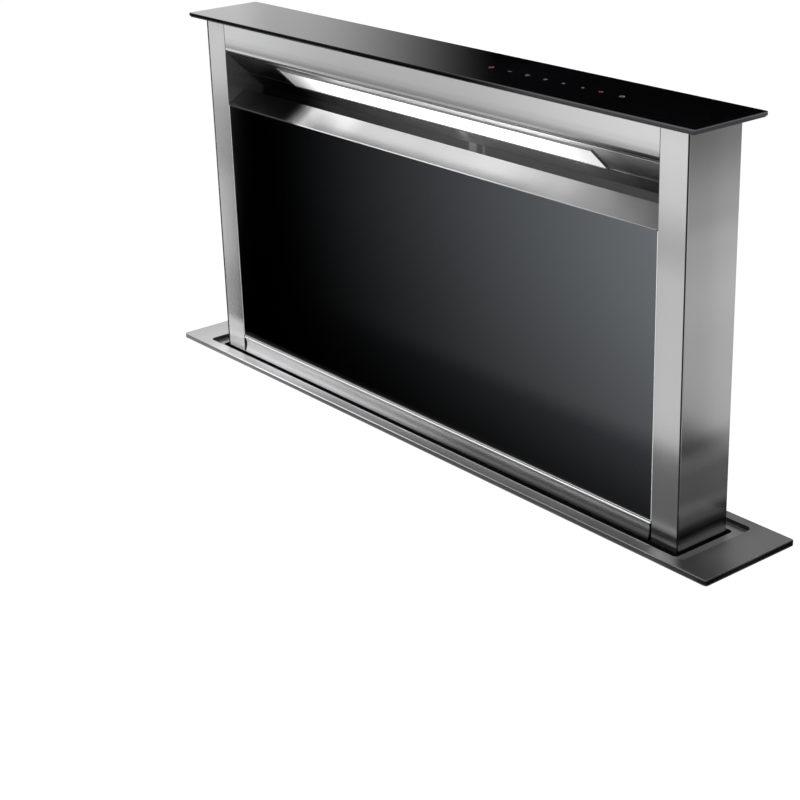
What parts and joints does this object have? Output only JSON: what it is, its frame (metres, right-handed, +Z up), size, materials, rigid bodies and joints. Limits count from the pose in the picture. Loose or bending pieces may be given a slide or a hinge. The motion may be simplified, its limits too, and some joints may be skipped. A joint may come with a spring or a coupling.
{
  "type": "downdraft vent",
  "caption": "Telescopic worktop extractor: a slim stainless tower with black glass front, lit inlet slot and glass cap rises from a flush frame over a cabinet housing with fan.",
  "frame": {"origin": "centre of the worktop cut-out, level with the worktop's upper surface, which is the underside of the flange", "axes": "+X to the user's right along the slot, +Y away from the user, +Z up along the lift"},
  "size_m": [0.91, 0.3146, 1.107],
  "materials": {
    "stainless_frame": "brushed stainless, fine grain along the length",
    "stainless_tower": "brushed stainless, satin",
    "stainless_bright": "polished stainless",
    "black_glass": "black tempered glass, polished edges",
    "galvanised": "galvanised sheet",
    "aluminium": "mill finish",
    "filter_mesh": "aluminium grease filter",
    "bright_steel": "ground steel",
    "zinc_screws": "zinc plated",
    "black_plastic": "moulded, fine grain",
    "grey_plastic": "moulded",
    "lamp_white": "opal diffuser, lit",
    "rubber_black": "matt",
    "board_green": "circuit board",
    "motor_paint": "satin paint"
  },
  "bodies": {
    "housing": {"worktop_frame": "stainless_frame", "frame_gasket": "rubber_black", "tower_wiper": "rubber_black", "housing_front_panel": "galvanised", "housing_rear_panel": "galvanised", "housing_left_panel": "galvanised", "housing_right_panel": "galvanised", "housing_floor": "galvanised", "clamp_bracket_left": "galvanised", "clamp_bracket_right": "galvanised", "clamp_screws": "zinc_screws", "floor_bracket_left": "galvanised", "floor_bracket_right": "galvanised", "panel_screws": "zinc_screws", "guide_rail_left": "aluminium", "guide_rail_right": "aluminium", "lift_belt_left": "rubber_black", "lift_belt_right": "rubber_black", "shaft_bearings": "aluminium", "gearmotor": "motor_paint", "gearmotor_bracket": "galvanised", "fan_scroll": "black_plastic", "fan_motor": "motor_paint", "outlet_collar": "black_plastic", "control_box": "grey_plastic", "control_box_lid": "grey_plastic", "circuit_board": "board_green", "cable_gland": "black_plastic"},
    "tower": {"top_glass": "black_glass", "glass_carrier": "aluminium", "touch_module": "black_plastic", "post_left": "stainless_tower", "post_right": "stainless_tower", "side_cover_left": "stainless_tower", "side_cover_right": "stainless_tower", "upper_fascia": "stainless_tower", "tower_back_panel": "stainless_tower", "inlet_ceiling": "stainless_tower", "lamp_diffuser": "lamp_white", "lamp_housing": "aluminium", "deflector": "stainless_bright", "duct_back_wall": "stainless_tower", "lower_rail": "stainless_tower", "lower_skirt": "stainless_tower", "carriage_frame": "galvanised", "filter_support": "galvanised", "grease_filter_left": "filter_mesh", "grease_filter_right": "filter_mesh", "runner_left": "aluminium", "runner_right": "aluminium", "door_magnets": "bright_steel"},
    "door": {"door_glass": "black_glass", "door_frame": "stainless_bright"},
    "drive_shaft": {"drive_shaft": "bright_steel", "drive_pulleys": "black_plastic"},
    "idler_left": {"idler_pulley_left": "black_plastic"},
    "idler_right": {"idler_pulley_right": "black_plastic"},
    "fan": {"fan_wheel": "black_plastic"},
    "damper_left": {"damper_flap_left": "grey_plastic"},
    "damper_right": {"damper_flap_right": "grey_plastic"}
  },
  "joints": [
    {"name": "lift", "type": "slide", "parent": "housing", "child": "tower", "axis": [0, 0, 1], "range_m": [-0.4078, 0]},
    {"name": "door_tilt", "type": "hinge", "parent": "tower", "child": "door", "pos_m": [0, -0.0289, 0.0254], "axis": [1, 0, 0], "range_deg": [0, 35]},
    {"name": "fan_spin", "type": "hinge", "parent": "housing", "child": "fan", "pos_m": [0, 0.13, -0.33], "axis": [0, 1, 0], "continuous": true},
    {"name": "damper_right", "type": "hinge", "parent": "housing", "child": "damper_right", "pos_m": [-0.083, 0.1328, -0.528], "axis": [0, 1, 0], "range_deg": [0, 80], "stiffness_Nm_per_rad": 0.01, "springref_deg": -85.94},
    {"name": "damper_left", "type": "hinge", "parent": "housing", "child": "damper_left", "pos_m": [-0.083, 0.1328, -0.528], "axis": [0, -1, 0], "range_deg": [0, 80], "stiffness_Nm_per_rad": 0.01, "springref_deg": -85.94},
    {"name": "shaft_turn", "type": "hinge", "parent": "housing", "child": "drive_shaft", "pos_m": [0, 0, -0.628], "axis": [1, 0, 0], "range_deg": [-10, 1450]},
    {"name": "idler_left_turn", "type": "hinge", "parent": "housing", "child": "idler_left", "pos_m": [-0.393, 0, -0.038], "axis": [1, 0, 0], "range_deg": [-10, 1450]},
    {"name": "idler_right_turn", "type": "hinge", "parent": "housing", "child": "idler_right", "pos_m": [0.393, 0, -0.038], "axis": [1, 0, 0], "range_deg": [-10, 1450]}
  ],
  "couplings": [
    {"joint": "shaft_turn", "follows": "lift", "rad_per_m": -61.728},
    {"joint": "idler_left_turn", "follows": "lift", "rad_per_m": -61.728},
    {"joint": "idler_right_turn", "follows": "lift", "rad_per_m": -61.728}
  ]
}
